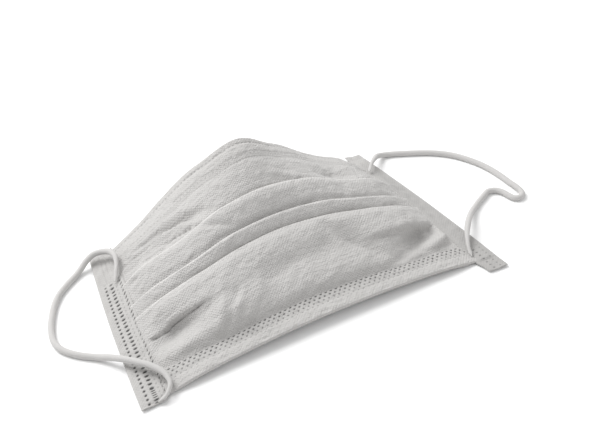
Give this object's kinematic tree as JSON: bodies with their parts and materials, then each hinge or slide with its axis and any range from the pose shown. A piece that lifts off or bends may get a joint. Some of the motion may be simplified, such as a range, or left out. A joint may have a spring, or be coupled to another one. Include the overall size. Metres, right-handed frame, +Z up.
{
  "type": "surgical face mask",
  "caption": "Pleated surgical face mask lying outer face up, with folded hems and side bands, a bent nose wire and two round elastic ear loops.",
  "frame": {"origin": "middle of the base of the box round the mask without its ear loops, at the height of the table that it lies on", "axes": "+X along the mask's width, +Y from the chin hem to the nose hem, +Z up, out of the mask's outer face"},
  "size_m": [0.2323, 0.1052, 0.0448],
  "materials": {
    "cloth": "matt off-white non-woven with a fine embossed point pattern",
    "tape": "matt off-white non-woven, welded in rows of small dots",
    "wire": "plastic-coated flat wire, hidden in the nose hem",
    "elastic": "matt off-white knitted elastic cord"
  },
  "bodies": {
    "root": {"mask_body": "cloth", "chin_hem": "tape", "nose_hem": "tape", "nose_wire": "wire", "side_band_left": "tape", "side_band_right": "tape", "ear_loop_left": "elastic", "ear_loop_right": "elastic"}
  },
  "joints": []
}
